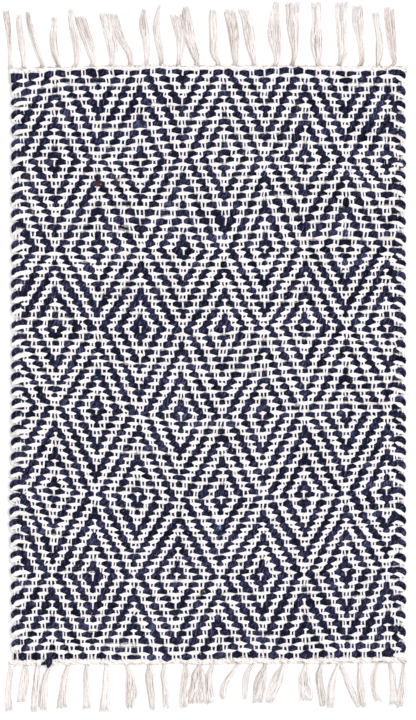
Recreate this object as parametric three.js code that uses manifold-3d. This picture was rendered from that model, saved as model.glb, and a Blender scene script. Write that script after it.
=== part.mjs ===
// Hand-loomed flat-woven rug with a knotted cotton fringe along both short ends, lying flat.
// Millimetres, +Z up. X runs across the rug, along its weft, and Y runs along its warp.
// The origin is on the floor, under the middle of the rug and its fringes.

import * as THREE from "three";
import { mergeVertices } from "three/addons/utils/BufferGeometryUtils.js";
import Module from "manifold-3d";

const wasm = await Module();
wasm.setup();

// Woven panel
const RUG_WIDTH = 610;
const RUG_THICKNESS = 8;
const PICK_COUNT = 84; // thick dark weft picks, one rib each, counted from the +Y end
const RIB_SHOULDER = 0.24; // half the flat crest of a rib, as a share of the spacing of the picks
const GROOVE_HEIGHT = 5.8; // top of the weave between two picks
const SELVEDGE_HEIGHT = 4.4; // where a pick turns back at the side edge
const SELVEDGE_ROUND = 5; // how far in from the side edge the weave is at its full thickness
const SCALLOP = 1.5; // how far the edge draws in between two turns
const LEFT_BULGE = { reach: 3, middle: -240, length: 75 }; // slack stretch of the left edge

// Heading, the twined band that holds the fringe
const PIECE_GAP = 0.5; // between the panel and each heading
const HEADING_LENGTH = 616;
const HEADING_WIDTH = 7.5;
const HEADING_HEIGHT = 7;
const HEADING_CHAMFER = 1.8;
const HEADING_STEPS = 48;
const ROOT_SWELL = { reach: 1.4, length: 5 }; // the band swells where a tassel is tied in

// Locks of the fringe
const LOCK_PITCH = 3.8; // width of one lock with its gap, at the widest part of a tassel
const FEWEST_LOCKS = 3;
const MOST_LOCKS = 5;
const LOCK_GAP = 0.8;
const ROOT_PITCH = 1.9; // spacing of the locks where the heading holds them
const TIP_PITCH = 1.5; // least spacing of the locks anywhere
const ROOT_DEPTH = 4; // how far a lock is sunk into the heading
const LOCK_HEIGHT = { root: 5, tip: 3 };
const LOCK_TOP_SHARE = 0.6; // width of a lock's top as a share of its foot
const LOCK_STEPS = [0, 0.15, 0.4, 0.7, 1];
const TIP_SHORTENING = [0.03, 0, 0.07, 0.02, 0.05]; // uneven ends, as shares of the length

const NAVY = new THREE.MeshStandardMaterial({ color: 0x262b4b, roughness: 0.95, metalness: 0 });
const COTTON = new THREE.MeshStandardMaterial({ color: 0xe9e2da, roughness: 0.95, metalness: 0 });

// Places across the rug where the run of the picks is given, from the left edge to the right
const STATIONS = [-305, -152, 0, 152, 305];

// Where a pick crosses each station, along Y. The picks bow and are not evenly beaten.
const PICK_MAP = [
  { pick: 1, y: [435, 442, 440, 440, 436] },
  { pick: 13, y: [299, 301, 302, 306, 302] },
  { pick: 25, y: [169, 164, 161, 163, 167] },
  { pick: 37, y: [42, 39, 40, 44, 43] },
  { pick: 49, y: [-75, -85, -93, -89, -84] },
  { pick: 61, y: [-203, -215, -222, -214, -205] },
  { pick: 73, y: [-336, -338, -340, -336, -330] },
  { pick: 84, y: [-468, -463, -462, -460, -450] },
];

// Tassels from left to right. Columns: x of the root, of the tassel at one third and two thirds
// of its length, and of its tip; y of its longest tip; its width at the last three of these.
const COLUMNS = ["root", "third", "twoThirds", "tip", "reach", "thirdWidth", "twoThirdsWidth", "tipWidth"];
const TOP_TASSELS = [
  [-303, -306, -310, -314, 534, 8, 9, 12],
  [-285, -287, -290, -292, 529, 12, 11, 9],
  [-257, -266, -274, -279, 533, 12, 10, 9],
  [-234, -238, -240, -242, 526, 12, 11, 11],
  [-202, -203, -208, -213, 537, 11, 12, 11],
  [-178, -183, -188, -196, 525, 15, 15, 14],
  [-150, -150, -153, -161, 531, 14, 14, 13],
  [-123, -129, -138, -146, 531, 13, 10, 11],
  [-95, -96, -100, -100, 536, 10, 14, 6],
  [-73, -77, -79, -75, 544, 10, 10, 5],
  [-44, -44, -46, -52, 530, 12, 14, 14],
  [-17, -24, -31, -35, 542, 15, 14, 9],
  [14, 8, 7, 7, 538, 10, 10, 11],
  [40, 40, 38, 34, 537, 11, 14, 17],
  [70, 66, 61, 54, 540, 13, 15, 15],
  [105, 104, 105, 106, 548, 14, 14, 10],
  [134, 133, 130, 130, 550, 12, 19, 21],
  [168, 167, 167, 167, 549, 18, 12, 15],
  [204, 207, 205, 205, 549, 14, 16, 14],
  [237, 236, 233, 229, 545, 12, 18, 14],
  [262, 263, 261, 258, 534, 10, 10, 11],
  [286, 285, 281, 279, 540, 12, 15, 11],
];
const BOTTOM_TASSELS = [
  [-303, -306, -309, -308, -550, 9, 9, 11],
  [-282, -283, -286, -290, -534, 9, 12, 12],
  [-264, -265, -267, -269, -550, 10, 11, 11],
  [-243, -252, -254, -255, -547, 8, 11, 11],
  [-215, -222, -225, -226, -545, 10, 12, 15],
  [-188, -188, -187, -188, -546, 9, 11, 12],
  [-158, -158, -158, -160, -550, 8, 11, 15],
  [-127, -122, -118, -122, -545, 12, 17, 7],
  [-92, -91, -88, -87, -546, 10, 11, 7],
  [-69, -68, -66, -64, -544, 9, 10, 9],
  [-38, -36, -39, -42, -544, 10, 12, 12],
  [-16, -17, -17, -19, -537, 15, 20, 22],
  [7, 2, 1, 3, -536, 9, 9, 10],
  [44, 33, 26, 22, -530, 9, 9, 9],
  [68, 61, 57, 58, -529, 9, 9, 8],
  [89, 84, 79, 76, -534, 12, 15, 14],
  [116, 110, 103, 96, -534, 15, 17, 13],
  [149, 147, 149, 152, -533, 13, 17, 19],
  [175, 171, 173, 176, -539, 10, 10, 10],
  [199, 195, 190, 188, -543, 7, 11, 9],
  [207, 212, 219, 228, -541, 8, 11, 7],
  [235, 234, 236, 239, -541, 7, 9, 8],
  [261, 256, 256, 265, -533, 8, 10, 11],
  [282, 283, 285, 283, -536, 9, 9, 9],
  [301, 302, 298, 293, -542, 7, 9, 8],
];

// Smooth curve through the points (places[i], values[i]), straight on past both ends
function smoothThrough(places, values, at) {
  const last = places.length - 1;
  const slope = (i) => {
    const before = Math.max(i - 1, 0);
    const after = Math.min(i + 1, last);
    return (values[after] - values[before]) / (places[after] - places[before]);
  };
  if (at <= places[0]) return values[0] + slope(0) * (at - places[0]);
  if (at >= places[last]) return values[last] + slope(last) * (at - places[last]);
  let i = 0;
  while (places[i + 1] < at) i += 1;
  const span = places[i + 1] - places[i];
  const t = (at - places[i]) / span;
  const ease = t * t * (3 - 2 * t);
  const leave = t * (1 - t) * (1 - t) * span * slope(i);
  const arrive = t * t * (t - 1) * span * slope(i + 1);
  return values[i] + ease * (values[i + 1] - values[i]) + leave + arrive;
}

// Y of a pick at x; a half number lies in the groove between two picks
function pickY(pick, x) {
  const picks = PICK_MAP.map((row) => row.pick);
  const heights = PICK_MAP.map((row) => smoothThrough(STATIONS, row.y, x));
  return smoothThrough(picks, heights, pick);
}

// Closed geometry with its faces turned outwards
function solidGeometry(points, triangles) {
  const corner = (i) => new THREE.Vector3(...points[i]);
  let volume = 0;
  for (const [a, b, c] of triangles) {
    volume += corner(a).dot(corner(b).cross(corner(c))) / 6;
  }
  const facing = volume > 0 ? triangles : triangles.map(([a, b, c]) => [a, c, b]);
  const geometry = new THREE.BufferGeometry();
  geometry.setAttribute("position", new THREE.Float32BufferAttribute(points.flat(), 3));
  geometry.setIndex(facing.flat());
  geometry.computeVertexNormals();
  return geometry;
}

// Solid through a row of rings with the same number of points, capped at both ends
function loft(rings) {
  const count = rings[0].length;
  const triangles = [];
  for (let r = 0; r + 1 < rings.length; r += 1) {
    for (let k = 0; k < count; k += 1) {
      const a = r * count + k;
      const b = r * count + ((k + 1) % count);
      triangles.push([a, b, b + count], [a, b + count, a + count]);
    }
  }
  const end = (rings.length - 1) * count;
  for (let k = 1; k + 1 < count; k += 1) {
    triangles.push([0, k + 1, k], [end, end + k, end + k + 1]);
  }
  return solidGeometry(rings.flat(), triangles);
}

// Columns of the panel's face, closer together where the selvedges round off
const FULL_THICKNESS_SHARE = 1 - (2 * SELVEDGE_ROUND) / RUG_WIDTH;
const COLUMN_SHARES = [-1, -FULL_THICKNESS_SHARE, -0.66, -0.33, 0, 0.33, 0.66, FULL_THICKNESS_SHARE, 1];
const FACE_COLUMNS = COLUMN_SHARES.map((share) => (share * RUG_WIDTH) / 2);

// Crosswise lines of the panel's face: a groove before each pick, two shoulders on it
function ribLines() {
  const lines = [];
  for (let pick = 1; pick <= PICK_COUNT; pick += 1) {
    lines.push({ pick: pick - 0.5, crest: false });
    lines.push({ pick: pick - RIB_SHOULDER, crest: true });
    lines.push({ pick: pick + RIB_SHOULDER, crest: true });
  }
  lines.push({ pick: PICK_COUNT + 0.5, crest: false });
  return lines;
}

function facePoint(line, column) {
  const nominal = FACE_COLUMNS[column];
  const y = pickY(line.pick, nominal);
  const atLeft = column === 0;
  const atRight = column === FACE_COLUMNS.length - 1;
  if (!atLeft && !atRight) return [nominal, y, line.crest ? RUG_THICKNESS : GROOVE_HEIGHT];
  const drawnIn = line.crest ? 0 : SCALLOP;
  const fromBulge = (y - LEFT_BULGE.middle) / LEFT_BULGE.length;
  const slack = atLeft ? LEFT_BULGE.reach * Math.exp(-(fromBulge ** 2)) : 0;
  return [Math.sign(nominal) * (Math.abs(nominal) - drawnIn + slack), y, SELVEDGE_HEIGHT];
}

// The woven body: ribbed by its picks above, flat below, its outline scalloped by their turns
function wovenPanel() {
  const lines = ribLines();
  const columns = FACE_COLUMNS.length;
  const points = lines.flatMap((line) => FACE_COLUMNS.map((_, column) => facePoint(line, column)));
  const triangles = [];
  for (let i = 0; i + 1 < lines.length; i += 1) {
    for (let j = 0; j + 1 < columns; j += 1) {
      const a = i * columns + j;
      const b = a + columns;
      triangles.push([a, b, b + 1], [a, b + 1, a + 1]);
    }
  }
  const lastLine = (lines.length - 1) * columns;
  const rim = [];
  for (let j = 0; j < columns; j += 1) rim.push(j);
  for (let i = 1; i < lines.length; i += 1) rim.push(i * columns + columns - 1);
  for (let j = columns - 2; j >= 0; j -= 1) rim.push(lastLine + j);
  for (let i = lines.length - 2; i > 0; i -= 1) rim.push(i * columns);
  const foot = points.length;
  for (const index of rim) points.push([points[index][0], points[index][1], 0]);
  for (let k = 0; k < rim.length; k += 1) {
    const next = (k + 1) % rim.length;
    triangles.push([rim[k], rim[next], foot + next], [rim[k], foot + next, foot + k]);
  }
  const outline = rim.map((index) => new THREE.Vector2(points[index][0], points[index][1]));
  for (const [a, b, c] of THREE.ShapeUtils.triangulateShape(outline, [])) {
    const turn = outline[b].clone().sub(outline[a]).cross(outline[c].clone().sub(outline[a]));
    triangles.push(turn < 0 ? [foot + a, foot + b, foot + c] : [foot + a, foot + c, foot + b]);
  }
  return solidGeometry(points, triangles);
}

// Y of the panel's end at x, straight between the columns of its face as the panel is
function panelEnd(x, side) {
  const pick = side > 0 ? 0.5 : PICK_COUNT + 0.5;
  const inside = THREE.MathUtils.clamp(x, FACE_COLUMNS[0], FACE_COLUMNS[FACE_COLUMNS.length - 1]);
  let j = 0;
  while (FACE_COLUMNS[j + 1] < inside) j += 1;
  const share = (inside - FACE_COLUMNS[j]) / (FACE_COLUMNS[j + 1] - FACE_COLUMNS[j]);
  return THREE.MathUtils.lerp(pickY(pick, FACE_COLUMNS[j]), pickY(pick, FACE_COLUMNS[j + 1]), share);
}

// Outer edge of a heading at x, swollen where the tassels are tied in
function headingEdge(x, side, tassels) {
  const swell = tassels.map(({ root }) => Math.exp(-(((x - root) / ROOT_SWELL.length) ** 2)));
  const reach = PIECE_GAP + HEADING_WIDTH + ROOT_SWELL.reach * Math.max(...swell);
  return panelEnd(x, side) + side * reach;
}

// The narrow band along one end of the panel
function heading(side, tassels) {
  const rings = [];
  for (let step = 0; step <= HEADING_STEPS; step += 1) {
    const x = (step / HEADING_STEPS - 0.5) * HEADING_LENGTH;
    const inner = panelEnd(x, side) + side * PIECE_GAP;
    const outer = headingEdge(x, side, tassels);
    const shoulder = side * HEADING_CHAMFER;
    rings.push([
      [x, inner, 0],
      [x, outer, 0],
      [x, outer, HEADING_HEIGHT - HEADING_CHAMFER],
      [x, outer - shoulder, HEADING_HEIGHT],
      [x, inner + shoulder, HEADING_HEIGHT],
      [x, inner, HEADING_HEIGHT - HEADING_CHAMFER],
    ]);
  }
  return loft(rings);
}

// The locks of one tassel, side by side on the floor, apart from each other all the way
function tasselLocks(tassel, side, tassels) {
  const widest = Math.max(tassel.thirdWidth, tassel.twoThirdsWidth, tassel.tipWidth);
  const count = THREE.MathUtils.clamp(Math.round(widest / LOCK_PITCH), FEWEST_LOCKS, MOST_LOCKS);
  const thirds = [0, 1 / 3, 2 / 3, 1];
  const middles = [tassel.root, tassel.third, tassel.twoThirds, tassel.tip];
  const widths = [count * ROOT_PITCH, tassel.thirdWidth, tassel.twoThirdsWidth, tassel.tipWidth];
  const rootY = headingEdge(tassel.root, side, tassels) - side * ROOT_DEPTH;
  const locks = [];
  for (let lock = 0; lock < count; lock += 1) {
    const place = (lock + 0.5) / count - 0.5;
    locks.push(loft(LOCK_STEPS.map((step) => {
      const share = step * (1 - TIP_SHORTENING[lock]);
      const pitch = Math.max(smoothThrough(thirds, widths, share) / count, TIP_PITCH);
      const x = smoothThrough(thirds, middles, share) + place * count * pitch;
      const y = THREE.MathUtils.lerp(rootY, tassel.reach, share);
      const foot = (pitch - LOCK_GAP) / 2;
      const top = foot * LOCK_TOP_SHARE;
      const height = THREE.MathUtils.lerp(LOCK_HEIGHT.root, LOCK_HEIGHT.tip, share);
      return [[x - foot, y, 0], [x + foot, y, 0], [x + top, y, height], [x - top, y, height]];
    })));
  }
  return locks;
}

function toManifold(geometry) {
  const bare = geometry.clone();
  bare.deleteAttribute("normal");
  const merged = mergeVertices(bare);
  return new wasm.Manifold(new wasm.Mesh({
    numProp: 3,
    vertProperties: new Float32Array(merged.attributes.position.array),
    triVerts: new Uint32Array(merged.index.array),
  }));
}

function toGeometry(solid) {
  const mesh = solid.getMesh();
  const geometry = new THREE.BufferGeometry();
  geometry.setAttribute("position", new THREE.BufferAttribute(mesh.vertProperties, mesh.numProp));
  geometry.setIndex(new THREE.BufferAttribute(mesh.triVerts, 1));
  geometry.computeVertexNormals();
  return geometry;
}

// One end's heading with the roots of its tassels fused into it
function fringe(side, rows) {
  const tassels = rows.map((row) => Object.fromEntries(COLUMNS.map((name, i) => [name, row[i]])));
  let solid = toManifold(heading(side, tassels));
  for (const tassel of tassels) {
    for (const lock of tasselLocks(tassel, side, tassels)) solid = solid.add(toManifold(lock));
  }
  return toGeometry(solid);
}

function piece(name, geometry, material) {
  const mesh = new THREE.Mesh(geometry, material);
  mesh.name = name;
  return mesh;
}

const rug = new THREE.Group();
rug.add(
  piece("woven_panel", wovenPanel(), NAVY),
  piece("fringe_top", fringe(1, TOP_TASSELS), COTTON),
  piece("fringe_bottom", fringe(-1, BOTTOM_TASSELS), COTTON),
);

// The tassels lean, so the middle of the whole is found from its box
const middle = new THREE.Box3().setFromObject(rug).getCenter(new THREE.Vector3());
rug.position.set(-middle.x, -middle.y, 0);
rug.updateMatrixWorld(true);

export default rug;
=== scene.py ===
import math

import bpy
import numpy as np
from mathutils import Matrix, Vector


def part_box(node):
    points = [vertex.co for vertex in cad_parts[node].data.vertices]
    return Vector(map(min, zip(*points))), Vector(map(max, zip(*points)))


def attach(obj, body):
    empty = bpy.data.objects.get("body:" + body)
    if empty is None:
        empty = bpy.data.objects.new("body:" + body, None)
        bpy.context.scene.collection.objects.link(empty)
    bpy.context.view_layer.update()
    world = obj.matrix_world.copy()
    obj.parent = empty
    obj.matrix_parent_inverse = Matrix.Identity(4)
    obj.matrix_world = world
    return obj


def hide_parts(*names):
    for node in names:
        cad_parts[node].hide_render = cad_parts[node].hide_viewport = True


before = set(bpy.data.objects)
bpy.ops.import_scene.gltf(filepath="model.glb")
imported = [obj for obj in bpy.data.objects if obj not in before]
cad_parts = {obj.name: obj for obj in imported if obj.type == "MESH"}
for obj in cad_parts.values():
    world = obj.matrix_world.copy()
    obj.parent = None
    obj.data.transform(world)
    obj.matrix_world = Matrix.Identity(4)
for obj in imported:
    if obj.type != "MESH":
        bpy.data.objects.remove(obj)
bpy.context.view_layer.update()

# Lengths are in millimetres, from the middle of the woven panel, until a mesh is made of them.
MM = 0.001
RUG_WIDTH = 610
PANEL_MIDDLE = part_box("woven_panel")[1].x - RUG_WIDTH / 2 * MM  # in the frame, metres
LEFT_BULGE = {"reach": 3, "middle": -240, "length": 75}  # slack stretch of the left edge

# The draft: which shaft lifts each warp, and which shafts are up over each navy pick
WARP_COUNT = 105
WARP_PITCH = 5.82
PICK_COUNT = 84
SHAFTS = 4
THREADING_HALF = 11  # warps from one point of the threading to the next
TREADLING_HALF = 12  # picks from one turn of the treadling to the next
SHEDS = {"A": (1, 2), "B": (2, 3), "C": (3, 4), "D": (4, 1)}
TREADLE_ORDER = "DABC"

# Y of some of the navy picks at five places across the rug; the others lie between them
STATIONS = (-305, -152, 0, 152, 305)
PICK_MAP = {
    1: (432, 439, 438, 438, 436),
    4: (397, 402, 404, 403, 399),
    7: (364, 367, 373, 371, 369),
    10: (332, 332, 338, 337, 334),
    13: (301, 298, 302, 303, 301),
    16: (267, 267, 269, 275, 272),
    19: (235, 234, 234, 240, 236),
    22: (200, 199, 195, 201, 200),
    25: (165, 164, 162, 164, 164),
    28: (136, 133, 132, 134, 138),
    31: (106, 103, 102, 104, 106),
    34: (76, 72, 70, 72, 76),
    37: (42, 42, 41, 44, 42),
    40: (9, 9, 6, 11, 11),
    43: (-20, -23, -28, -23, -21),
    46: (-49, -55, -60, -57, -55),
    49: (-78, -86, -94, -89, -89),
    52: (-109, -118, -127, -121, -118),
    55: (-139, -150, -158, -152, -145),
    58: (-173, -183, -189, -184, -175),
    61: (-204, -215, -222, -214, -207),
    64: (-234, -249, -253, -249, -240),
    67: (-265, -279, -281, -276, -267),
    70: (-304, -308, -310, -304, -296),
    73: (-337, -340, -341, -337, -328),
    76: (-370, -373, -372, -369, -361),
    79: (-405, -406, -404, -403, -395),
    82: (-440, -440, -438, -435, -432),
    84: (-463, -463, -462, -460, -457),
}

# How far to the right the warps stray, by y and station
DRIFT_MAP = {
    440: (0, 4, 6, 3, 1),
    335: (0, 4, 7, 3, 1.5),
    110: (0, 5, 7.5, 2.5, 1),
    -45: (1, 4, 4, 3, 2),
    -275: (1, -1.5, 0.7, 2.5, 0.5),
    -353: (-2, -4, -2.5, 2.5, 0),
    -465: (2, -5, -1, 5, 4),
}

# Tassels from left to right. Columns: x at the heading, at the four levels below and at the tip;
# width at the last three levels and the tip; y of the longest tip.
TASSEL_LEVELS = {1: (452, 467, 491, 515), -1: (-478, -489, -506, -522)}
TOP_TASSELS = (
    (-306, -306, -306, -308, -311, -314, 5, 6, 8.5, 9.5, 535),
    (-285, -285, -286, -289, -292, -292, 8, 10, 10, 7, 529),
    (-257, -256, -262, -270, -276, -279, 9, 8, 9, 6, 533),
    (-231, -232, -237, -240, -238, -240, 10, 10, 8, 9, 525),
    (-209, -204, -202, -204, -210, -213, 10, 13, 10, 11, 537),
    (-182, -178, -180, -187, -196, -199, 12, 15, 18, 15, 526),
    (-153, -149, -147, -151, -157, -161, 12, 15, 14, 15, 532),
    (-121, -120, -122, -135, -143, -146, 9, 12, 13, 9, 530),
    (-98, -96, -95, -97, -100, -100, 8, 12, 14, 4, 537),
    (-74, -72, -73, -78, -80, -75, 9, 10, 9, 3, 544),
    (-47, -46, -44, -43, -47, -51, 8, 14, 17, 17, 530),
    (-18, -17, -20, -28, -32, -35, 13, 14, 14, 8, 542),
    (16, 16, 9, 8, 7, 7, 10, 11, 11, 10, 538),
    (38, 42, 41, 40, 37, 32, 10, 14, 17, 16, 537),
    (71, 71, 69, 64, 60, 54, 13, 15, 15, 17, 538),
    (101, 105, 106, 102, 102, 105, 10, 17, 15, 7, 548),
    (128, 130, 134, 132, 131, 130, 8, 14, 18, 21, 549.5),
    (171, 170, 168, 166, 167, 166, 14, 18, 12, 15, 549),
    (200, 203, 208, 207, 206, 205, 13, 14, 15, 18, 549),
    (232, 237, 237, 235, 232, 231, 8, 11, 17, 16, 544),
    (262, 262, 264, 264, 260, 258, 10, 10, 9, 11, 534),
    (281, 288, 286, 283, 281, 279, 9, 12, 14, 14, 540),
)
BOTTOM_TASSELS = (
    (-302, -304, -306, -308, -309, -308, 8, 8, 9, 11, -549),
    (-281, -282, -283, -285, -288, -290, 10, 12, 12, 12, -535),
    (-262, -263, -264, -265, -267, -269, 9, 10, 11, 9, -549.5),
    (-239, -243, -249, -253, -255, -256, 8, 9, 12, 12, -547),
    (-213, -216, -220, -223, -225, -226, 8, 10, 10, 17, -545),
    (-186, -187, -188, -188, -187, -188, 8, 8, 10, 12, -546),
    (-157, -157, -158, -158, -159, -160, 7, 9, 10, 17, -549.5),
    (-128, -125, -121, -119, -118, -123, 10, 15, 18, 8, -544),
    (-92, -91, -91, -90, -87, -86, 11, 11, 11, 8, -546),
    (-67, -67, -69, -67, -66, -65, 9, 8, 9, 10, -544),
    (-36, -35, -35, -37, -38, -39, 11, 11, 13, 12, -545),
    (-13, -14, -15, -15, -17, -17, 18, 21, 25, 28, -538),
    (9, 7, 2, 1, 2, 3, 9, 10, 11, 11, -538),
    (49, 44, 36, 25, 22, 22, 8, 9, 9, 7, -530),
    (70, 66, 60, 57, 57, 56, 8, 8, 7, 6, -530),
    (88, 88, 84, 80, 78, 76, 14, 17, 16, 15, -536),
    (119, 115, 110, 104, 98, 94, 14, 17, 15, 12, -536),
    (150, 151, 148, 148, 151, 151, 14, 18, 20, 20, -533),
    (175, 174, 171, 172, 175, 177, 9, 10, 11, 8, -542),
    (202, 200, 195, 191, 190, 188, 7, 10, 11, 9, -543.5),
    (203, 205, 211, 217, 224, 231, 8, 9, 10, 5, -542),
    (234, 234, 234, 235, 237, 240, 7, 10, 11, 8, -543),
    (261, 260, 256, 255, 258, 264, 8, 8, 8, 12, -534),
    (281, 281, 284, 285, 286, 286, 8, 8, 10, 14, -540),
    (303, 302, 301, 300, 298, 295, 8, 10, 11, 8, -544),
)

# How a weft lies at its four kinds of place: midway under warps, at the end of a float over them,
# over the float's outer warps, and at mid float. Reach: how far out the float's end and its full
# height are, in warps from its outer warps. Plumpness: how uneven its thickness is. Lumps: its share
# of the thick spots listed below. By lean: its thickness where it lies straight, and how much its
# lean adds.
UNDER, END, OVER, CREST = range(4)
NAVY = {
    "reach": (0.62, 0),
    "centre": (3.0, 4.2, 4.8, 4.9),
    "half_width": (3.1, 4.4, 4.9, 5.1),
    "half_height": (2.0, 2.2, 2.3, 2.4),
    "plumpness": 0.17,
    "lumps": 1,
    "by_lean": (1.0, 0.08),
}
WHITE = {
    "reach": (1.0, 0.35),
    "centre": (2.3, 4.9, 5.6, 5.8),
    "half_width": (1.0, 1.5, 3.0, 3.3),
    "half_height": (0.9, 1.0, 1.2, 1.3),
    "plumpness": 0.1,
    "lumps": -0.9,
    "by_lean": (1.06, -0.18),
}
LAST_PICK = (0.5, 0.82, 1.02, 1.08)  # thickness at those places beside the bottom heading
ALONE_REACH = 0.45  # reach of a float's end beside a warp that is up alone
# How far a float shifts towards the top end at each of its warps. A navy one is pushed where the warp
# is up over the next pick, and a white one is free where it is up over the pick before.
NAVY_LEAN = {"pushed": 0.85, "free": -0.65, "under": -0.2}
WHITE_LEAN = {"free": 0.6, "pushed": -0.6}
STRAIGHT_END = 0.15  # share of the lean that the heading leaves to the pick beside it
STRAIGHT_PICKS = (1, 3)  # from the pick beside the heading to the first that leans fully
MOST_LEAN = 1.8

# How steeply the floats lean at some places: y, then its share at the five stations across. Where
# the share is small the picks lie straight and apart, with the white weft showing between them.
LEAN_MAP = {
    435: (0.5, 0.4, 0.4, 0.9, 1.0),
    365: (1.0, 0.9, 0.8, 1.0, 1.0),
    311: (0.9, 0.4, 0.3, 0.4, 0.7),
    242: (0.6, 0.8, 0.6, 0.6, 0.6),
    188: (0.7, 0.9, 0.5, 0.3, 0.3),
    164: (0.5, 0.4, 0.2, 0.2, 0.3),
    103: (0.9, 1.0, 1.0, 0.9, 1.0),
    41: (0.7, 0.8, 0.8, 0.4, 0.6),
    -21: (0.8, 0.7, 0.5, 0.4, 0.4),
    -83: (0.8, 0.8, 0.5, 0.4, 0.4),
    -129: (1.0, 0.9, 0.8, 1.0, 1.1),
    -183: (1.0, 0.8, 0.7, 0.9, 1.1),
    -283: (1.0, 0.9, 0.8, 0.9, 1.0),
    -360: (1.0, 1.0, 0.8, 1.1, 1.2),
    -407: (1.1, 1.0, 0.9, 1.0, 1.0),
    -453: (0.6, 0.4, 0.4, 0.5, 0.5),
}
LEAN_WANDER = (0.2, 0.45)  # how much that share strays, over the rug and from pick to pick

WARP_HALF_WIDTH = 1.35
WARP_HALF_HEIGHT = 1.1
WARP_UNEVEN = 0.14
WARP_SPLAY = 0.5  # how far a warp strays from upright over a navy pick
WARP_PAIR_PULL = 0.2  # towards a neighbour that is up with it
WARP_SWAY = 0.25
EDGE_TUCK = 3.2  # how far in the turning wefts pull the outermost warps
WARP_SHOULDER = 0.28  # where a warp leaves the top of a navy pick, as a share of the spacing
WARP_FOOT = 0.25  # where it reaches its full depth under one
WARP_ENDS = (0.1, PICK_COUNT + 0.9)  # inside the headings, as pick numbers
WARP_HEIGHTS = {
    "at heading": 3.6,
    "outermost": 2.4,
    "over navy": 6.2,
    "shoulder": 5.6,
    "under navy": 1.6,
    "under white": 3.0,
    "over white": 4.4,
    "over both": 5.2,
}

# Corners of a yarn's section, as angles from the level; a weft has most of them on its upper half
WEFT_SIDES = np.radians((0, 38, 72, 108, 142, 180, 270))
WARP_SIDES = np.radians((10, 90, 170, 230, 310))
CORD_SIDES = np.radians((18, 90, 162, 234, 306))
THREAD_SIDES = np.radians((0, 90, 180, 270))
HAIR_SIDES = np.radians((30, 150, 270))

SEED = 11
random = np.random.default_rng(SEED)


def smooth_through(places, values, at):
    """Smooth curve through the points (places, values), straight on past both ends. A row of
    values may hold one number, or one for each entry of at."""
    places, at = np.asarray(places, float), np.asarray(at, float)
    values = np.asarray(values, float).reshape(len(places), -1) * np.ones(at.shape)
    numbers = np.arange(len(places))
    before, after = np.maximum(numbers - 1, 0), np.minimum(numbers + 1, len(places) - 1)
    slopes = (values[after] - values[before]) / (places[after] - places[before])[:, None]
    i = np.clip(np.searchsorted(places, at, side="right") - 1, 0, len(places) - 2)
    k = np.arange(at.size)
    span = places[i + 1] - places[i]
    t = np.clip((at - places[i]) / span, 0, 1)
    ease = t * t * (3 - 2 * t)
    leave = t * (1 - t) ** 2 * span * slopes[i, k]
    arrive = t * t * (t - 1) * span * slopes[i + 1, k]
    inside = values[i, k] + ease * (values[i + 1, k] - values[i, k]) + leave + arrive
    outside = np.minimum(at - places[0], 0) * slopes[0] + np.maximum(at - places[-1], 0) * slopes[-1]
    return inside + outside


def ripples(count, shortest, longest):
    """Smooth random field over the rug, mostly between -1 and 1, made of a few plane waves."""
    heading = random.uniform(0, 2 * math.pi, count)
    number = 2 * math.pi / random.uniform(shortest, longest, count)
    phase = random.uniform(0, 2 * math.pi, count)

    def field(x, y):
        waves = [
            np.sin(n * (x * math.cos(h) + y * math.sin(h)) + p)
            for h, n, p in zip(heading, number, phase)
        ]
        return sum(waves) / math.sqrt(count)

    return field


def uneven(count, step):
    """Smooth random numbers about 0, one for each of count samples, that change every step samples."""
    knots = random.normal(0, 1, count // step + 3)
    start = random.uniform(0, 1)
    return np.interp(np.arange(count) / step + start, np.arange(len(knots)), knots)


def by_pick(spacing):
    """Smooth random field along each pick, about 0, that has nothing to do with the pick beside it."""
    knots = random.normal(0, 1, (PICK_COUNT + 2, math.ceil(RUG_WIDTH / spacing) + 3))

    def field(pick, x):
        pick = np.clip(pick, 0, PICK_COUNT + 1)
        place = np.clip((x + RUG_WIDTH / 2) / spacing + 1, 0, knots.shape[1] - 1.001)
        row, column = np.minimum(pick.astype(int), PICK_COUNT), place.astype(int)
        down, along = pick - row, place - column
        along = along * along * (3 - 2 * along)
        first = knots[row, column] * (1 - along) + knots[row, column + 1] * along
        second = knots[row + 1, column] * (1 - along) + knots[row + 1, column + 1] * along
        return first * (1 - down) + second * down

    return field


row_wander = ripples(9, shortest=45, longest=160)
column_wander = ripples(9, shortest=45, longest=160)
lean_over_rug = ripples(7, shortest=90, longest=260)
lean_by_pick = by_pick(spacing=130)
beaten = by_pick(spacing=60)
plump = by_pick(spacing=22)
spun = by_pick(spacing=90)
ROW_WANDER = 0.5
PICK_WANDER = 1.15
COLUMN_WANDER = 0.9
SPUN_SHARE = 0.08  # how much a weft's thickness changes over a long stretch

# Thick and thin stretches of the navy yarn: x, y, how far each reaches along its pick and across
# it, and how much it adds
THICK_SPOTS = (
    (-250, 437, 48, 5, 0.4),
    (-250, 410, 55, 12, -0.15),
    (-182, 441, 22, 8, 0.45),
    (-114, 376, 14, 10, 0.35),
    (-238, 301, 16, 8, 0.5),
    (-105, 358, 9, 8, 0.4),
    (252, 355, 14, 12, 0.5),
    (-70, 296, 12, 8, 0.3),
    (21, 211, 20, 9, 0.6),
    (152, 201, 10, 8, 0.6),
    (-107, 197, 9, 8, 0.3),
    (-43, 171, 13, 8, 0.35),
    (-107, 84, 16, 8, 0.3),
    (-107, 41, 13, 12, 0.45),
    (141, -108, 10, 8, 0.35),
    (25, -209, 52, 5, 0.25),
    (-290, -460, 28, 8, 0.35),
    (-176, -285, 10, 7, 0.45),
    (-178, -335, 17, 9, 0.5),
    (296, -445, 13, 7, 0.5),
)


def thick_spots(x, y):
    total = np.zeros(len(x))
    for spot_x, spot_y, along, across, more in THICK_SPOTS:
        total += more * np.exp(-(((x - spot_x) / along) ** 2) - ((y - spot_y) / across) ** 2)
    return total


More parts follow.
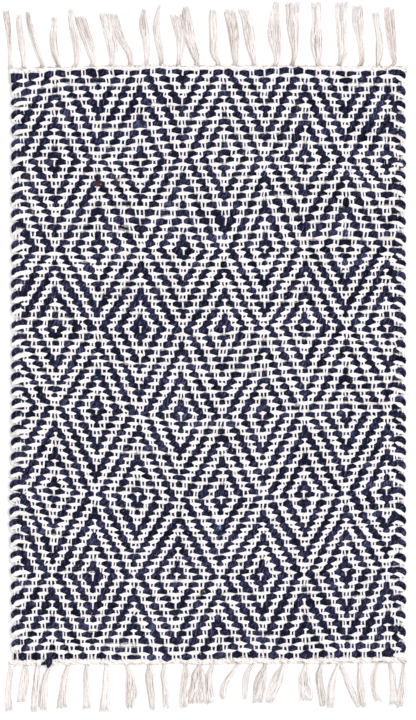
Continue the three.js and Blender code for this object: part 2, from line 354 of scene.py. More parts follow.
def read_map(table, x, place):
    """What a table holds at x and a place, where its rows are at places and its columns at stations."""
    order = sorted(table)
    rows = [smooth_through(STATIONS, table[key], x) for key in order]
    return smooth_through(order, rows, place)


def lean_share(pick, x, y):
    """How steeply the floats of a pick lean at some places, over how steeply they usually do."""
    share = read_map(LEAN_MAP, x, y)
    over_rug, from_pick = LEAN_WANDER
    numbers = np.full(len(x), float(pick))
    share += over_rug * lean_over_rug(x, y) + from_pick * lean_by_pick(numbers, x)
    from_end = min(pick, PICK_COUNT + 1 - pick)
    return np.clip(share, 0, MOST_LEAN) * np.interp(from_end, STRAIGHT_PICKS, (STRAIGHT_END, 1))


def pick_y(pick, x):
    """Y of a navy pick at x. A white pick lies half a spacing above the navy pick of its number."""
    x, pick = (a.ravel() for a in np.broadcast_arrays(np.asarray(x, float), np.asarray(pick, float)))
    y = read_map(PICK_MAP, x, pick)
    return y + ROW_WANDER * row_wander(x, y) + PICK_WANDER * beaten(pick, x)


def warp_x(warp, y):
    middle = (np.asarray(warp, float) - (WARP_COUNT - 1) / 2) * WARP_PITCH
    middle, y = (a.ravel() for a in np.broadcast_arrays(middle, np.asarray(y, float)))
    return middle + read_map(DRIFT_MAP, middle, y) + COLUMN_WANDER * column_wander(middle, y)


def edge_x(side, y):
    """X of the rug's side edge, left for -1 and right for 1."""
    slack = LEFT_BULGE["reach"] * np.exp(-(((y - LEFT_BULGE["middle"]) / LEFT_BULGE["length"]) ** 2))
    return side * RUG_WIDTH / 2 - (slack if side < 0 else 0)


def triangle_wave(number, half):
    return half - abs(number % (2 * half) - half)


def warp_is_up(pick, warp):
    if warp in (0, WARP_COUNT - 1):
        return False  # the wefts turn round the outermost warps
    shaft = SHAFTS - triangle_wave(warp, THREADING_HALF) % SHAFTS
    treadle = TREADLE_ORDER[triangle_wave(pick - 1, TREADLING_HALF) % len(TREADLE_ORDER)]
    return shaft in SHEDS[treadle]


# up[pick] says of each warp whether it is up over that navy pick; picks count from 1
up = np.array([[warp_is_up(pick, warp) for warp in range(WARP_COUNT)] for pick in range(PICK_COUNT + 2)])
up[[0, PICK_COUNT + 1]] = False


FIBRE_START = 5  # metres of yarn over which the streaks of each one start at random


class Bundle:
    """Yarns gathered into one mesh. Each point keeps what the materials read: the fibre attribute
    holds how far along its yarn it is and its direction round the yarn, and tone a shade."""

    def __init__(self, sides):
        self.round = np.stack([np.cos(sides), np.sin(sides)], axis=1)
        self.points, self.fibres, self.tones, self.faces, self.sizes = [], [], [], [], []
        self.used = 0

    def add(self, path, half_width, half_height, tone=0.0):
        path = np.asarray(path, float)
        count, sides = len(path), len(self.round)
        along = np.gradient(path, axis=0)
        sideways = np.cross((0, 0, 1), along)
        sideways /= np.linalg.norm(sideways, axis=1, keepdims=True)
        upward = np.cross(along, sideways)
        upward /= np.linalg.norm(upward, axis=1, keepdims=True)
        reach = np.stack([half_width * np.ones(count), half_height * np.ones(count)], axis=1)
        offsets = self.round[None] * reach[:, None]
        ring = path[:, None] + offsets[..., :1] * sideways[:, None] + offsets[..., 1:] * upward[:, None]
        steps = np.linalg.norm(np.diff(path, axis=0), axis=1)
        distance = np.concatenate([[0], np.cumsum(steps)]) * MM + random.uniform(0, FIBRE_START)
        self.points.append(ring.reshape(-1, 3))
        fibre = np.empty((count, sides, 3))
        fibre[..., 0] = distance[:, None]
        fibre[..., 1:] = self.round
        self.fibres.append(fibre.reshape(-1, 3))
        self.tones.append(np.repeat(tone * np.ones(count), sides))
        self.join(count, sides)

    def join(self, count, sides):
        """Faces between the rings just added, and one at each end."""
        ring = np.arange(count - 1)[:, None] * sides + self.used
        here, following = np.arange(sides), (np.arange(sides) + 1) % sides
        above, above_following = here + sides, following + sides
        walls = np.stack([ring + k for k in (here, following, above_following, above)], axis=2)
        self.faces.append(walls.reshape(-1))
        self.sizes.append(np.full((count - 1) * sides, 4))
        first = self.used + np.arange(sides)[::-1]
        last = self.used + (count - 1) * sides + np.arange(sides)
        self.faces.extend([first, last])
        self.sizes.append(np.full(2, sides))
        self.used += count * sides

    def piece(self, name, material):
        """The mesh as an object of the scene, in the frame's metres."""
        points = np.concatenate(self.points) * MM
        points[:, 0] += PANEL_MIDDLE
        corners, sizes = np.concatenate(self.faces), np.concatenate(self.sizes)
        mesh = bpy.data.meshes.new(name)
        mesh.vertices.add(len(points))
        mesh.vertices.foreach_set("co", points.ravel().astype(np.float32))
        mesh.loops.add(len(corners))
        mesh.loops.foreach_set("vertex_index", corners.astype(np.int32))
        mesh.polygons.add(len(sizes))
        mesh.polygons.foreach_set("loop_start", (np.cumsum(sizes) - sizes).astype(np.int32))
        fibre = mesh.attributes.new("fibre", "FLOAT_VECTOR", "POINT")
        fibre.data.foreach_set("vector", np.concatenate(self.fibres).ravel().astype(np.float32))
        tone = mesh.attributes.new("tone", "FLOAT", "POINT")
        tone.data.foreach_set("value", np.concatenate(self.tones).astype(np.float32))
        mesh.update(calc_edges=True)
        mesh.shade_smooth()
        mesh.materials.append(material)
        obj = bpy.data.objects.new(name, mesh)
        bpy.context.scene.collection.objects.link(obj)
        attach(obj, "root")
        return obj


def weft_places(floats, reach):
    """Where a pick is sampled, as warp numbers, with the kind of place it is and the warp that its
    lean comes from."""
    runs = np.split(np.arange(len(floats)), np.flatnonzero(np.diff(floats)) + 1)
    found = {}
    for number, run in enumerate(runs):
        first, last = run[0], run[-1]
        middle = (first + last) / 2
        if not floats[first]:
            found[middle] = (UNDER, middle)
            continue
        end_reach, over_reach = reach
        for side, warp, beside in ((-1, first, number - 1), (1, last, number + 1)):
            alone = 0 <= beside < len(runs) and len(runs[beside]) == 1
            found[warp + side * (ALONE_REACH if alone else end_reach)] = (END, warp)
            found[warp + side * over_reach] = (OVER, warp)
        found[middle] = (CREST, middle)
    places = np.array(sorted(found))
    kinds, warps_below = zip(*(found[place] for place in places))
    return places, np.array(kinds), np.array(warps_below)


def weft_row(pick, floats, lean, yarn):
    """One pick from left to right: its path, and its half width and half height along it."""
    places, kinds, warps_below = weft_places(floats, yarn["reach"])
    rough_x = (places - (WARP_COUNT - 1) / 2) * WARP_PITCH
    x = warp_x(places, pick_y(pick, rough_x))
    y = pick_y(pick, x)
    share = lean_share(pick, x, y)
    y += np.interp(warps_below, np.arange(WARP_COUNT), lean) * share
    z = np.array(yarn["centre"])[kinds]
    numbers = np.full(len(x), float(pick))
    more = 1 + yarn["plumpness"] * plump(numbers, x) + SPUN_SHARE * spun(numbers, x)
    more += yarn["lumps"] * thick_spots(x, y)
    straight, leaning = yarn["by_lean"]
    more *= straight + leaning * share
    if pick == PICK_COUNT:
        more *= np.array(LAST_PICK)[kinds]
    sizes = [np.array(yarn[name])[kinds] * more for name in ("half_width", "half_height")]
    return places, np.stack([x, y, z], axis=1), sizes


def cut_row(row, first, last):
    """The part of a pick between two warps."""
    places, path, sizes = row
    kept = (places >= first) & (places <= last)
    return path[kept], [size[kept] for size in sizes]


# How a weft turns back at a side edge: the distance in from the edge, how far it has come from
# its pick to the next one, its height and its half width
NAVY_TURN = (
    (14, 0.0, 4.9, 4.7),
    (8.4, 0.08, 5.5, 5.0),
    (4.8, 0.3, 5.5, 4.6),
    (4.3, 0.6, 4.9, 4.1),
    (5.4, 0.82, 3.6, 3.4),
    (9.5, 0.95, 2.4, 2.8),
)
WHITE_TURN = (
    (14, 0.14, 6.0, 3.2),
    (9, 0.3, 6.1, 3.9),
    (4.6, 0.5, 5.2, 3.0),
    (2.8, 0.7, 3.6, 2.2),
    (5.0, 0.9, 2.2, 1.8),
    (11, 0.98, 2.0, 1.4),
)
# At each edge, the share of that half width. Trim: how many warps a row stops short of the edge,
# before a turn and after one.
NAVY_EDGES = {"turn": NAVY_TURN, -1: 0.93, 1: 1.0, "half_height": 2.3, "trim": (2.7, 2.2)}
WHITE_EDGES = {"turn": WHITE_TURN, -1: 1.03, 1: 0.88, "half_height": 1.3, "trim": (2.9, 2.4)}
TURN_WANDER = (0.5, 0.06)  # in from the edge, and from pick to pick
TURN_TONE = -0.4
TURN_STEPS = 11


def turn_points(turn, side, pick):
    """Path and half width of a weft where it turns back at a side edge."""
    stops = np.arange(len(turn))
    at = np.linspace(0, stops[-1], TURN_STEPS)
    rows = np.stack([smooth_through(stops, column, at) for column in zip(*turn)], axis=1)
    wander, shift = random.normal(0, 1, 2) * TURN_WANDER
    y = pick_y(pick + rows[:, 1] + shift, np.full(len(rows), side * RUG_WIDTH / 2))
    x = edge_x(side, y) - side * (rows[:, 0] + abs(wander))
    return np.stack([x, y, rows[:, 2]], axis=1), rows[:, 3]


def snake(rows, first_pick, edges):
    """One long yarn through all the rows, which starts at the left and turns back at each side edge
    in turn."""
    paths, widths, heights, tones = [], [], [], []
    before_turn, after_turn = edges["trim"]
    final = len(rows) - 1
    side = 1
    for number, row in enumerate(rows):
        start = after_turn if number > 0 else 0
        stop = before_turn if number < final else 0
        left, right = (start, stop) if side > 0 else (stop, start)
        path, (width, height) = cut_row(row, left, WARP_COUNT - 1 - right)
        order = slice(None, None, side)
        paths.append(path[order])
        widths.append(width[order])
        heights.append(height[order])
        tones.append(np.zeros(len(path)))
        if number < final:
            corner, corner_width = turn_points(edges["turn"], side, first_pick + number)
            paths.append(corner)
            widths.append(corner_width * edges[side])
            heights.append(np.full(len(corner), edges["half_height"]))
            tones.append(np.full(len(corner), TURN_TONE))
        side = -side
    return [np.concatenate(parts) for parts in (paths, widths, heights, tones)]


# The end of the navy yarn, which hangs out over the bottom heading in two tufts: x, y, height and
# half width
TAIL = (
    ((-240, -459, 5.4, 2.6), (-245, -466, 6.4, 4.3), (-250, -472, 6.2, 3.9), (-258, -475, 5.2, 1.2)),
    ((-243, -463, 5.6, 3.0), (-245, -470, 6.2, 4.4), (-246.5, -476, 5.6, 3.6), (-248, -480, 4.8, 1.2)),
)
# The end of the white yarn, tucked in at the bottom right corner, in the same columns
WHITE_TUFT = ((282, -458, 5.2, 1.2), (289, -460.5, 6.2, 3.4), (297, -460, 6.4, 4.2), (304, -461, 5, 3))
TUFT_FLATNESS = 0.5  # half height over half width


def add_tuft(bundle, stops, tone):
    points = np.array(stops, float)
    bundle.add(points[:, :3], points[:, 3], TUFT_FLATNESS * points[:, 3], tone=tone)


# Each weft's random unevenness: how much its thickness varies, and how far it strays sideways. A
# slub is a stretch where the navy yarn swells by more than usual.
NAVY_UNEVEN = 0.08
NAVY_SWAY = 0.35
SLUB_THRESHOLD = 1.5
SLUB_SHARE = 0.2
NAVY_MOST_HALF_HEIGHT = 2.75
WHITE_UNEVEN = 0.13
WHITE_SWAY = 0.3
TUFT_TONES = {"navy": 0.3, "white": -0.6}


def navy_weft(material):
    rows = []
    for pick in range(1, PICK_COUNT + 1):
        floats = ~up[pick]
        lean = np.where(up[pick + 1], NAVY_LEAN["pushed"], NAVY_LEAN["free"])
        lean = np.where(floats, lean, NAVY_LEAN["under"])
        rows.append(weft_row(pick, floats, lean, NAVY))
    path, width, height, _ = snake(rows, 1, NAVY_EDGES)
    count = len(path)
    thick = 1 + NAVY_UNEVEN * uneven(count, step=4)
    thick += SLUB_SHARE * np.maximum(uneven(count, step=6) - SLUB_THRESHOLD, 0)
    path[:, 1] += NAVY_SWAY * uneven(count, step=3)
    height = np.minimum(height * thick, NAVY_MOST_HALF_HEIGHT)
    bundle = Bundle(WEFT_SIDES)
    bundle.add(path, width * thick, height, tone=uneven(count, step=4))
    for stops in TAIL:
        add_tuft(bundle, stops, TUFT_TONES["navy"])
    return bundle.piece("navy_weft", material)


def white_weft(material):
    rows = []
    for pick in range(2, PICK_COUNT + 1):
        floats = up[pick]
        lean = np.where(up[pick - 1], WHITE_LEAN["free"], WHITE_LEAN["pushed"])
        rows.append(weft_row(pick - 0.5, floats, np.where(floats, lean, 0.0), WHITE))
    path, width, height, tone = snake(rows, 1.5, WHITE_EDGES)
    count = len(path)
    thick = 1 + WHITE_UNEVEN * uneven(count, step=3)
    path[:, 1] += WHITE_SWAY * uneven(count, step=3)
    bundle = Bundle(WEFT_SIDES)
    bundle.add(path, width * thick, height * thick, tone=tone + uneven(count, step=4))
    add_tuft(bundle, WHITE_TUFT, TUFT_TONES["white"])
    return bundle.piece("white_weft", material)


def height_at_white(warp, pick):
    """Height of a warp where it crosses the white pick before a navy one."""
    if warp in (0, WARP_COUNT - 1):
        return WARP_HEIGHTS["outermost"]
    if up[pick, warp]:
        return WARP_HEIGHTS["under white"]
    return WARP_HEIGHTS["over both" if up[pick - 1, warp] else "over white"]


def warp_stops(warp):
    """A warp's stops from the top heading to the bottom one: their pick numbers, its height there and
    how far it is pulled sideways."""
    picks, heights, pulls = [WARP_ENDS[0]], [WARP_HEIGHTS["at heading"]], [0.0]
    for pick in range(1, PICK_COUNT + 1):
        picks.append(pick - 0.5)
        heights.append(height_at_white(warp, pick))
        pulls.append(0.0)
        if up[pick, warp]:
            pull = WARP_PAIR_PULL * (int(up[pick, warp + 1]) - int(up[pick, warp - 1]))
            above, below = pull + WARP_SPLAY * random.normal(0, 1, 2)
            picks.extend([pick - WARP_SHOULDER, pick, pick + WARP_SHOULDER])
            heights.extend(WARP_HEIGHTS[name] for name in ("shoulder", "over navy", "shoulder"))
            pulls.extend([above, (above + below) / 2, below])
        else:
            picks.extend([pick - WARP_FOOT, pick + WARP_FOOT])
            heights.extend([WARP_HEIGHTS["under navy"]] * 2)
            pulls.extend([0.0, 0.0])
    picks.extend([PICK_COUNT + 0.5, WARP_ENDS[1]])
    heights.extend([WARP_HEIGHTS["over white"], WARP_HEIGHTS["at heading"]])
    pulls.extend([0.0, 0.0])
    return np.array(picks), np.array(heights), np.array(pulls)


def warp_path(warp):
    picks, heights, pulls = warp_stops(warp)
    rough_x = (warp - (WARP_COUNT - 1) / 2) * WARP_PITCH
    rough_y = pick_y(picks, np.full(len(picks), rough_x))
    x = warp_x(warp, rough_y) + pulls + WARP_SWAY * uneven(len(picks), step=3)
    if warp in (0, WARP_COUNT - 1):
        x -= math.copysign(EDGE_TUCK, rough_x)
    return np.stack([x, pick_y(picks, x), heights], axis=1)


def warps(name, numbers, material):
    bundle = Bundle(WARP_SIDES)
    for warp in numbers:
        path = warp_path(warp)
        width = WARP_HALF_WIDTH * (1 + WARP_UNEVEN * uneven(len(path), step=2))
        bundle.add(path, width, WARP_HALF_HEIGHT, tone=uneven(len(path), step=6))
    return bundle.piece(name, material)


# Headings: twined cords side by side along each end, of two strands each; at the top a thin dark
# thread lies outside them as a painted shadow line along the outer edge. Columns: how far in from
# the outer line, height, strand radius, swing of the strands, how far they go in half a turn, tone,
# and how mottled the strands are.
HEADING_LENGTH = 614
HEADING_LINE = {1: (444.5, 448, 448, 448, 446.5), -1: (-476, -474, -473, -472, -471)}  # at the stations
HEADING_WANDER = 0.4  # of the whole heading, to the side
HEADING_ENDS = (230, 285)  # distances from the rug's middle line between which the mottling changes
END_MOTTLES = {1: 2.2, -1: 1}
TWINE_STEP = 1.9
STRAND_PHASE = 0.8  # how unevenly the strands are twined, in radians
STRAND_SWAY = 0.3
STRAND_UNEVEN = 0.16
CORDS = {
    1: (
        # painted shadow line: a thin dark cord along the top heading's outer edge
        (0.3, 4.0, 0.5, 0.6, 9.1, -3.0, 2.2),
        (2.3, 3.4, 1.4, 0.8, 5.8, 0.6, 1.6),
        (4.9, 3.1, 1.4, 0.8, 4.4, 0.3, 1.6),
        (7.4, 2.9, 1.3, 0.7, 5.3, 0.0, 1.6),
    ),
    -1: (
        (0.9, 3.0, 1.3, 1.3, 6.7, -1.2, 2.0),
        (3.3, 3.4, 1.4, 1.0, 5.8, -0.2, 2.0),
        (5.9, 3.1, 1.3, 0.8, 4.4, -0.2, 1.8),
    ),
}


def heading_y(side, x):
    return np.interp(x, STATIONS, HEADING_LINE[side])


def heading(name, side, material):
    bundle = Bundle(CORD_SIDES)
    x = np.arange(-HEADING_LENGTH / 2, HEADING_LENGTH / 2, TWINE_STEP)
    line = heading_y(side, x) + HEADING_WANDER * uneven(len(x), step=20)
    for depth, height, radius, swing, half_turn, tone, mottle in CORDS[side]:
        mottle = mottle * np.interp(np.abs(x), HEADING_ENDS, (1, END_MOTTLES[side]))
        for strand in (0, 1):
            angle = math.pi * (x / half_turn + strand) + STRAND_PHASE * uneven(len(x), step=6)
            y = line - side * depth + swing * np.cos(angle) + STRAND_SWAY * uneven(len(x), step=4)
            z = height + swing * np.sin(angle)
            size = radius * (1 + STRAND_UNEVEN * uneven(len(x), step=3))
            tones = tone + mottle * uneven(len(x), step=3)
            bundle.add(np.stack([x, y, z], axis=1), size, size, tone=tones)
    return bundle.piece(name, material)


# Tassels: loose threads side by side, some of which cross over, and fine wisps at the tip
TASSEL_HEIGHT = (4.6, 2.8)  # at the root, and at the tip
ROUNDNESS = 3  # how much lower a tassel is towards its sides
FULLNESS = 1.15  # width of the tassels' loose edges, over what the tables give
LEAST_WIDTH = 0.5
FOOT_WIDTH = (6.5, 5)  # in the heading, and just out of it
THREADS_FOR_WIDTH = 1.9  # for each millimetre of the tassel's greatest width
THREAD_RADIUS = 0.8
THREAD_SIZES = (0.6, 1.15)  # thinnest and thickest thread, as shares of that radius
THREAD_TAPER = {"along": (0, 0.1, 0.85, 1), "size": (0.7, 1, 1, 0.3)}
THREAD_STEPS = 12
THREAD_WANDER = 0.05  # across the tassel, as a share of its width
SHORTFALL = 0.06  # how much shorter than the tassel a thread is, as a share
CROSSING = 0.35  # share of the threads that end up elsewhere in the tassel

# Fine wisps: where along the tassel they start and end, how far they stray, and their heights
WISPS = 8
WISP_STEPS = 5
WISP_RADIUS = 0.3
WISP_TAPER = 0.4  # thickness at its tip, as a share
WISP_STARTS = (0.7, 0.9)
WISP_ENDS = (0.98, 1.03)
WISP_STRAY = 2.2
WISP_HEIGHTS = (0.4, 2.2)
WISP_TONES = (0.5, 1)  # middle, and spread

# Tones of a tassel: darkest and lightest of the painted shadow at its root and of the whole, the
# painted shade on its left side, away from the light, and from thread to thread and along one
# painted shadow: threads are darker where a tassel leaves its heading, most at the top end
ROOT_PAINTED_SHADOWS = {1: (-3.2, -0.8), -1: (-1.2, 0)}
ROOT_PAINTED_SHADOW_LENGTH = 0.2
TASSEL_TONES = (-1.1, -0.2)
# painted shade: the threads on a tassel's left side, away from the key light, are made darker
TASSEL_PAINTED_SHADE_LEFT = -1.1
PAINTED_SHADE_PLACES = (-0.5, -0.25)  # from where it has its full amount to where it ends
THREAD_TONES = (0.9, 0.7)

# The darker stretch of a tassel: its length and usual middle as shares of the tassel, how far that
# strays from thread to thread, and the threads' shares of it
DARK_LENGTH = 0.3
DARK_MIDDLES = (0.2, 1)
DARK_WANDER = 0.15
DARK_SHARES = (0.4, 1.3)
# By tassel: how far along it some of them are darkest, and how dark they are there
DARK_PARTS = {
    1: {0: (0.8, 3.4), 2: (0.82, 2.8), 5: (0.8, 2.6), 8: (0.8, 2.2), 13: (0.5, 2), 21: (0.5, 2)},
    -1: {11: (0.2, 1.2), 17: (0.3, 1.2)},
}


def along_tassel(levels, values, y):
    upwards = np.sign(levels[-1])
    return smooth_through(upwards * levels, values, upwards * y)


def tassel_thread(bundle, levels, middles, widths, place, shade, root_painted_shadow):
    """One thread of a tassel. Place: where it lies across the tassel, from -0.5 to 0.5."""
    share = np.linspace(0, 1 - abs(random.normal(0, SHORTFALL)), THREAD_STEPS)
    y = levels[0] + (levels[-1] - levels[0]) * share
    goal = random.uniform(-0.5, 0.5) if random.random() < CROSSING else place
    places = place + (goal - place) * share + THREAD_WANDER * uneven(THREAD_STEPS, step=3)
    places = np.clip(places, -0.5, 0.5)
    radius = THREAD_RADIUS * random.uniform(*THREAD_SIZES)
    width = np.maximum(FULLNESS * along_tassel(levels, widths, y) - radius, LEAST_WIDTH)
    x = along_tassel(levels, middles, y) + places * width
    height = np.interp(share, (0, 1), TASSEL_HEIGHT) * np.sqrt(1 - ROUNDNESS * places**2)
    z = radius + np.maximum(height - 2 * radius, 0) * random.uniform(0, 1)
    size = radius * np.interp(share, THREAD_TAPER["along"], THREAD_TAPER["size"])
    own, along = THREAD_TONES
    tone = random.normal(0, own) + along * uneven(THREAD_STEPS, step=4)
    # painted shade: darker threads on the tassel's left side, away from the key light
    tone += TASSEL_PAINTED_SHADE_LEFT * np.interp(places, PAINTED_SHADE_PLACES, (1, 0))
    tone += shade(share + random.normal(0, DARK_WANDER)) * random.uniform(*DARK_SHARES)
    # painted shadow at the root, fading out along the first stretch of the tassel
    tone += root_painted_shadow * np.interp(share, (0, ROOT_PAINTED_SHADOW_LENGTH), (1, 0))
    bundle.add(np.stack([x, y, z], axis=1), size, size, tone=tone)


def tassel_wisp(bundle, levels, middles, widths):
    """A fine fibre that strays from the tip of a tassel."""
    share = np.linspace(random.uniform(*WISP_STARTS), random.uniform(*WISP_ENDS), WISP_STEPS)
    y = levels[0] + (levels[-1] - levels[0]) * share
    place = random.uniform(-0.5, 0.5)
    stray = random.normal(0, WISP_STRAY) * np.linspace(0, 1, WISP_STEPS) ** 2
    x = along_tassel(levels, middles, y) + place * along_tassel(levels, widths, y) + stray
    z = np.full(WISP_STEPS, random.uniform(*WISP_HEIGHTS))
    size = WISP_RADIUS * np.linspace(1, WISP_TAPER, WISP_STEPS)
    bundle.add(np.stack([x, y, z], axis=1), size, size, tone=random.normal(*WISP_TONES))


def dark_part(number, side):
    """Tone along a tassel, which has a darker, beige stretch."""
    whole, amount = random.uniform(*TASSEL_TONES), random.uniform(0, 1)
    middle = random.uniform(*DARK_MIDDLES)
    if number in DARK_PARTS[side]:
        middle, amount = DARK_PARTS[side][number]
    return lambda share: whole - amount * np.exp(-(((share - middle) / DARK_LENGTH) ** 2))


def tassel(bundle, row, side, number):
    levels = np.array([heading_y(side, row[0]) - side, *TASSEL_LEVELS[side], row[-1]], float)
    middles, widths = row[:6], [*FOOT_WIDTH, *row[6:10]]
    shade = dark_part(number, side)
    root_painted_shadow = random.uniform(*ROOT_PAINTED_SHADOWS[side])
    count = round(max(widths) * THREADS_FOR_WIDTH)
    for thread in range(count):
        place = (thread + random.uniform(0, 1)) / count - 0.5
        tassel_thread(bundle, levels, middles, widths, place, shade, root_painted_shadow)
    for _ in range(WISPS):
        tassel_wisp(bundle, levels, middles, widths)


def fringe(name, side, rows, material):
    bundle = Bundle(THREAD_SIDES)
    for number, row in enumerate(rows):
        tassel(bundle, row, side, number)
    return bundle.piece(name, material)


# Stray fibres caught in the weave. Tufts: colour, x, y, length, direction in degrees, how many
# fibres, and how wide they spread.
STRAY_COLOURS = (
    "#5b332b",
    "#c9a58c",
    "#1f7f86",
    "#35b183",
    "#3d6ea3",
    "#d8c02c",
    "#b02a3c",
    "#23264a",
    "#f8f4f2",
)
RUST, BEIGE, TEAL, GREEN, BLUE, YELLOW, RED, NAVY_HAIR, WHITE_HAIR = range(len(STRAY_COLOURS))
TUFTS = (
    (RUST, -279, 279, 8, 10, 10, 4),
    (RUST, -170, 267, 13, 0, 24, 7),
    (RUST, -143, 270, 7, 75, 12, 4),
    (BEIGE, -271, 222, 5, 30, 4, 2),
    (TEAL, -229, 343, 5, 20, 4, 2),
    (GREEN, 186, 298, 4, -15, 12, 1.8),
    (TEAL, -12, 79, 5, 0, 4, 2),
    (GREEN, -173, -32, 6, 10, 5, 2.5),
    (BLUE, 76, 53, 5, 15, 4, 2),
    (BLUE, 15, -263, 12, 15, 12, 6),
    (BLUE, -282, -211, 6, 50, 4, 2),
    (YELLOW, -35, -340, 2.5, 60, 4, 1),
    (RED, -110, 58, 3.5, 80, 3, 1),
    (RED, 286, 282, 5, 85, 5, 1.2),
    (RED, -95, 441, 5, 90, 4, 1.2),
    (BEIGE, -6, -362, 8, -60, 3, 1),
    (RUST, 294, 290, 5, 70, 4, 1.5),
    (TEAL, 98, 312, 5, 20, 5, 2),
    (BEIGE, 291, -459, 6, 75, 4, 1.5),
    (RUST, 288, -453, 4, 60, 3, 1.5),
)
TUFT_SCATTER = 0.5  # of its spread, across the picks
TUFT_SLIMNESS = 0.5  # scatter along the picks, as a share of that
TUFT_LENGTHS = (0.5, 1)  # of its length, from fibre to fibre
TUFT_TURN = 18  # degrees
HAIRS = {NAVY_HAIR: 260, WHITE_HAIR: 260}
HAIR_REACH = 0.49  # of the rug's width, from its middle line
HAIR_ROWS = (-460, 435)
HAIR_LENGTH = (4, 9)
HAIR_HEIGHT = (7.0, 7.6)
HAIR_RADIUS = {"tuft": 0.42, "hair": 0.17}
HAIR_TAPER = 0.6  # how much thinner its ends are, as a share
HAIR_BEND = 0.12  # of its length
HAIR_DIP = 0.9  # how far its ends sink into the weave
HAIR_STEPS = 5


def hair(bundle, x, y, length, degrees, radius, colour):
    """A fine fibre that lies on the weave, slightly bent. Its tone is the number of its colour."""
    along = np.linspace(-0.5, 0.5, HAIR_STEPS) * length
    to_ends = np.linspace(-1, 1, HAIR_STEPS) ** 2
    bend = random.normal(0, HAIR_BEND) * length * to_ends
    angle = math.radians(degrees)
    path_x = x + along * math.cos(angle) - bend * math.sin(angle)
    path_y = y + along * math.sin(angle) + bend * math.cos(angle)
    z = random.uniform(*HAIR_HEIGHT) - HAIR_DIP * to_ends
    size = radius * (1 - HAIR_TAPER * to_ends)
    bundle.add(np.stack([path_x, path_y, z], axis=1), size, size, tone=colour)


def stray_fibres(material):
    bundle = Bundle(HAIR_SIDES)
    for colour, x, y, length, degrees, count, spread in TUFTS:
        for _ in range(count):
            dx, dy = random.normal(0, TUFT_SCATTER * spread, 2)
            own_x = x + TUFT_SLIMNESS * dx
            own_length = length * random.uniform(*TUFT_LENGTHS)
            own_degrees = degrees + random.normal(0, TUFT_TURN)
            hair(bundle, own_x, y + dy, own_length, own_degrees, HAIR_RADIUS["tuft"], colour)
    for colour, count in HAIRS.items():
        for _ in range(count):
            x = random.uniform(-HAIR_REACH, HAIR_REACH) * RUG_WIDTH
            y = random.uniform(*HAIR_ROWS)
            length, degrees = random.uniform(*HAIR_LENGTH), random.uniform(0, 180)
            hair(bundle, x, y, length, degrees, HAIR_RADIUS["hair"], colour)
    return bundle.piece("stray_fibres", material)


TWIST = 350.0  # radians for each metre of yarn
YARN_ROUGHNESS = 0.9
FLOOR_ROUGHNESS = 0.9


def linear(hex_colour):
    """Linear colour of a hex one, by the sRGB curve."""
    channels = [int(hex_colour[i : i + 2], 16) / 255 for i in (1, 3, 5)]
    return [c / 12.92 if c <= 0.04045 else ((c + 0.055) / 1.055) ** 2.4 for c in channels] + [1]


def new_material(name):
    material = bpy.data.materials.new(name)
    material.use_nodes = True
    nodes = material.node_tree.nodes
    return material, material.node_tree, nodes["Principled BSDF"]


def add_node(tree, kind, **values):
    """A node with some of its properties or unlinked inputs set."""
    node = tree.nodes.new(kind)
    for name, value in values.items():
        if name in node.inputs:
            node.inputs[name].default_value = value
        else:
            setattr(node, name, value)
    return node


def fibre_coordinates(tree, stretch):
    """Coordinates that follow a yarn's fibres: along the yarn, and round it with a twist."""
    fibre = add_node(tree, "ShaderNodeAttribute", attribute_name="fibre")
    split = add_node(tree, "ShaderNodeSeparateXYZ")
    tree.links.new(fibre.outputs["Vector"], split.inputs[0])
    turn = add_node(tree, "ShaderNodeMath", operation="MULTIPLY")
    turn.inputs[1].default_value = TWIST
    tree.links.new(split.outputs["X"], turn.inputs[0])
    rotate = add_node(tree, "ShaderNodeVectorRotate", rotation_type="X_AXIS")
    tree.links.new(fibre.outputs["Vector"], rotate.inputs["Vector"])
    tree.links.new(turn.outputs[0], rotate.inputs["Angle"])
    scale = add_node(tree, "ShaderNodeVectorMath", operation="MULTIPLY")
    scale.inputs[1].default_value = (stretch, 1, 1)
    tree.links.new(rotate.outputs["Vector"], scale.inputs[0])
    return scale.outputs["Vector"]


def noise_at(tree, coordinates, scale):
    noise = add_node(tree, "ShaderNodeTexNoise", Scale=scale, Detail=3.0, Roughness=0.6)
    tree.links.new(coordinates, noise.inputs["Vector"])
    return noise.outputs["Fac"]


def ramp_of(tree, factor, stops, interpolation="LINEAR"):
    ramp = add_node(tree, "ShaderNodeValToRGB")
    ramp.color_ramp.interpolation = interpolation
    elements = ramp.color_ramp.elements
    while len(elements) < len(stops):
        elements.new(0.5)
    for element, (position, colour) in zip(elements, stops):
        element.position = position
        element.color = linear(colour)
    tree.links.new(factor, ramp.inputs["Fac"])
    return ramp.outputs["Color"]


def multiply(tree, first, second):
    """The product of two colours."""
    mix = add_node(tree, "ShaderNodeMix", data_type="RGBA", blend_type="MULTIPLY")
    mix.inputs["Factor"].default_value = 1.0
    tree.links.new(first, mix.inputs[6])
    tree.links.new(second, mix.inputs[7])
    return mix.outputs[2]


def bump_of(tree, height, distance):
    bump = add_node(tree, "ShaderNodeBump", Strength=0.6, Distance=distance)
    tree.links.new(height, bump.inputs["Height"])
    return bump.outputs["Normal"]


